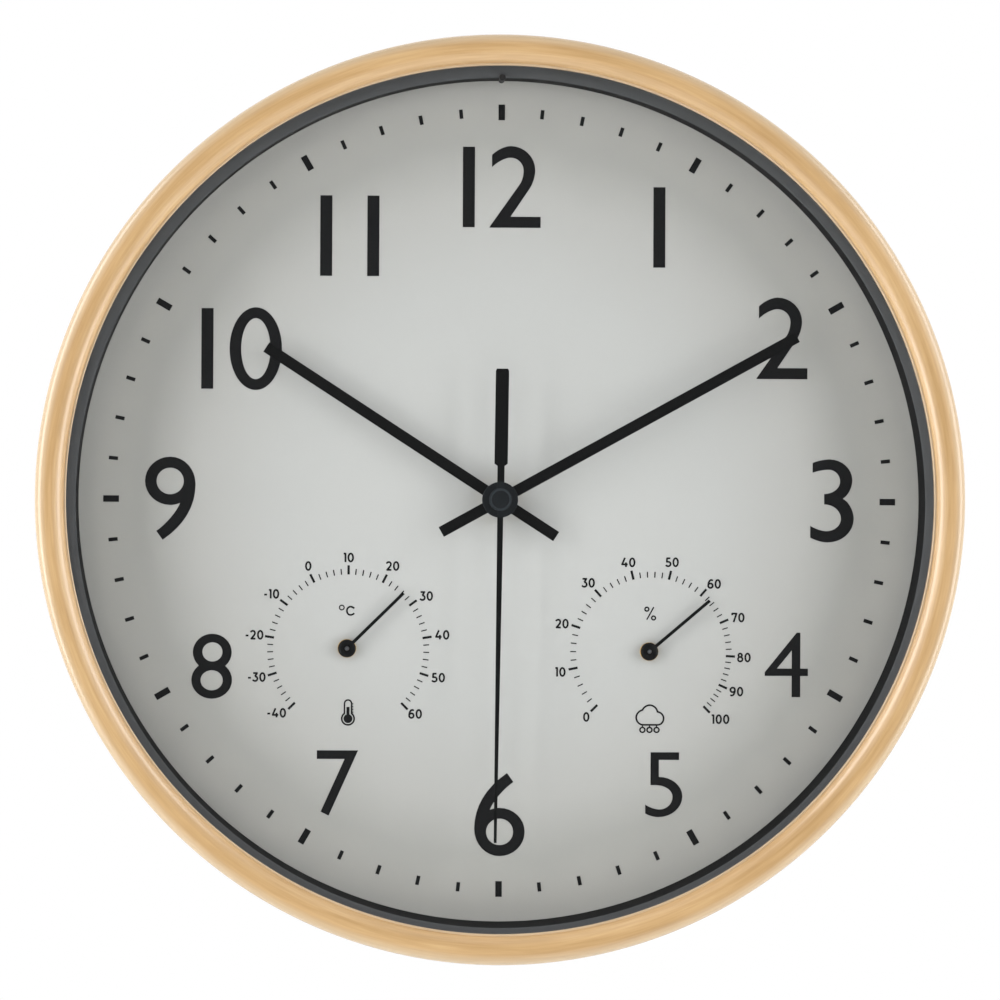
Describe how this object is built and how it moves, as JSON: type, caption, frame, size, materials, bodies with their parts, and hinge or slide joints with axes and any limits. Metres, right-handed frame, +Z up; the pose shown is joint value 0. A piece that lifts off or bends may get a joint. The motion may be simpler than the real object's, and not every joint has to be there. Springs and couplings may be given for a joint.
{
  "type": "wall clock with thermometer",
  "caption": "Round quartz wall clock in a wood-effect ring, with bold numerals, bar hands, and a small thermometer and hygrometer in the lower dial behind flat glass.",
  "frame": {"origin": "centre of the clock's bounding box, on the axis of the hands", "axes": "+Z up as it hangs, front faces -Y, +X to the viewer's right; the hands turn about Y, and a positive turn is clockwise as the viewer sees it"},
  "size_m": [0.3, 0.042, 0.3],
  "materials": {
    "wood_effect": "pale pine wood-effect film on moulded plastic, satin",
    "clear_glass": "clear, flat, polished",
    "ring_black": "dark grey satin",
    "dial_grey": "printed, matt, light grey with a darker edge",
    "hand_black": "black satin paint on aluminium sheet",
    "back_plastic": "black moulded plastic, fine texture",
    "case_plastic": "black moulded plastic, satin",
    "gear_plastic": "natural moulded plastic",
    "rotor_magnet": "sintered magnet on a plastic pinion",
    "board": "green circuit board",
    "chip_black": "black potting drop",
    "plated_steel": "zinc plated",
    "brass": "turned, satin",
    "bimetal": "rolled strip",
    "copper_wire": "enamelled copper winding",
    "cell_jacket": "plain grey film over a steel can"
  },
  "bodies": {
    "case": {"bezel_frame": "wood_effect", "glass_lens": "clear_glass", "inner_ring": "ring_black", "dial_plate": "dial_grey", "back_plate": "back_plastic", "hanger_bracket": "plated_steel", "back_screw_1": "plated_steel", "back_screw_2": "plated_steel", "back_screw_3": "plated_steel", "back_screw_4": "plated_steel", "back_screw_5": "plated_steel", "back_screw_6": "plated_steel", "hanger_screw_1": "plated_steel", "hanger_screw_2": "plated_steel", "movement_case": "case_plastic", "movement_plate": "case_plastic", "mounting_washer": "plated_steel", "mounting_nut": "brass", "stator": "plated_steel", "coil_core": "plated_steel", "drive_coil": "copper_wire", "circuit_board": "board", "timing_chip": "chip_black", "quartz_crystal": "plated_steel", "motor_screw_1": "plated_steel", "motor_screw_2": "plated_steel", "battery_contact_positive": "plated_steel", "battery_contact_negative": "plated_steel", "thermometer_housing": "back_plastic", "thermometer_sensing_coil": "bimetal", "thermometer_bushing": "brass", "hygrometer_housing": "back_plastic", "hygrometer_sensing_coil": "bimetal", "hygrometer_bushing": "brass"},
    "minute_motion": {"minute_hand": "hand_black", "cannon_pinion": "brass"},
    "hour_motion": {"hour_hand": "hand_black", "hour_wheel": "gear_plastic"},
    "setting_works": {"minute_works_wheel": "gear_plastic", "setting_knob": "case_plastic"},
    "second_motion": {"second_hand": "hand_black", "second_wheel": "gear_plastic"},
    "third_motion": {"third_wheel": "gear_plastic"},
    "centre_motion": {"centre_wheel": "gear_plastic"},
    "intermediate_motion": {"intermediate_wheel": "gear_plastic"},
    "rotor_motion": {"rotor": "rotor_magnet"},
    "thermometer_needle": {"thermometer_pointer": "hand_black", "thermometer_arbor": "plated_steel"},
    "hygrometer_needle": {"hygrometer_pointer": "hand_black", "hygrometer_arbor": "plated_steel"},
    "battery_cell": {"battery": "cell_jacket"}
  },
  "joints": [
    {"name": "minute_spin", "type": "hinge", "parent": "case", "child": "minute_motion", "pos_m": [0, 0.012, 0], "axis": [0, 1, 0], "continuous": true},
    {"name": "hour_spin", "type": "hinge", "parent": "case", "child": "hour_motion", "pos_m": [0, 0.012, 0], "axis": [0, 1, 0], "continuous": true},
    {"name": "setting_spin", "type": "hinge", "parent": "case", "child": "setting_works", "pos_m": [-0.01128, 0.012, 0.0041], "axis": [0, 1, 0], "continuous": true},
    {"name": "second_spin", "type": "hinge", "parent": "case", "child": "second_motion", "pos_m": [0, 0.012, 0], "axis": [0, 1, 0], "continuous": true},
    {"name": "third_spin", "type": "hinge", "parent": "case", "child": "third_motion", "pos_m": [0.01092, 0.012, 0.00096], "axis": [0, 1, 0], "continuous": true},
    {"name": "centre_spin", "type": "hinge", "parent": "case", "child": "centre_motion", "pos_m": [0, 0.012, 0], "axis": [0, 1, 0], "continuous": true},
    {"name": "intermediate_spin", "type": "hinge", "parent": "case", "child": "intermediate_motion", "pos_m": [0.00188, 0.012, 0.01064], "axis": [0, 1, 0], "continuous": true},
    {"name": "rotor_spin", "type": "hinge", "parent": "case", "child": "rotor_motion", "pos_m": [0.00972, 0.012, 0.01365], "axis": [0, 1, 0], "continuous": true},
    {"name": "thermometer_turn", "type": "hinge", "parent": "case", "child": "thermometer_needle", "pos_m": [-0.0496, -0.003, -0.0482], "axis": [0, 1, 0], "range_deg": [-180.7, 89.3], "stiffness_Nm_per_rad": 0.001},
    {"name": "hygrometer_turn", "type": "hinge", "parent": "case", "child": "hygrometer_needle", "pos_m": [0.0487, -0.003, -0.0493], "axis": [0, 1, 0], "range_deg": [-184.4, 85.5], "stiffness_Nm_per_rad": 0.001},
    {"name": "battery_slide", "type": "slide", "parent": "case", "child": "battery_cell", "axis": [0, 1, 0], "range_m": [0, 0.022]}
  ],
  "couplings": [
    {"joint": "hour_spin", "follows": "minute_spin", "ratio": 0.083333},
    {"joint": "setting_spin", "follows": "minute_spin", "ratio": -0.33333},
    {"joint": "third_spin", "follows": "second_spin", "ratio": -0.13333},
    {"joint": "centre_spin", "follows": "second_spin", "ratio": 0.016667},
    {"joint": "intermediate_spin", "follows": "second_spin", "ratio": -5},
    {"joint": "rotor_spin", "follows": "second_spin", "ratio": 30}
  ]
}
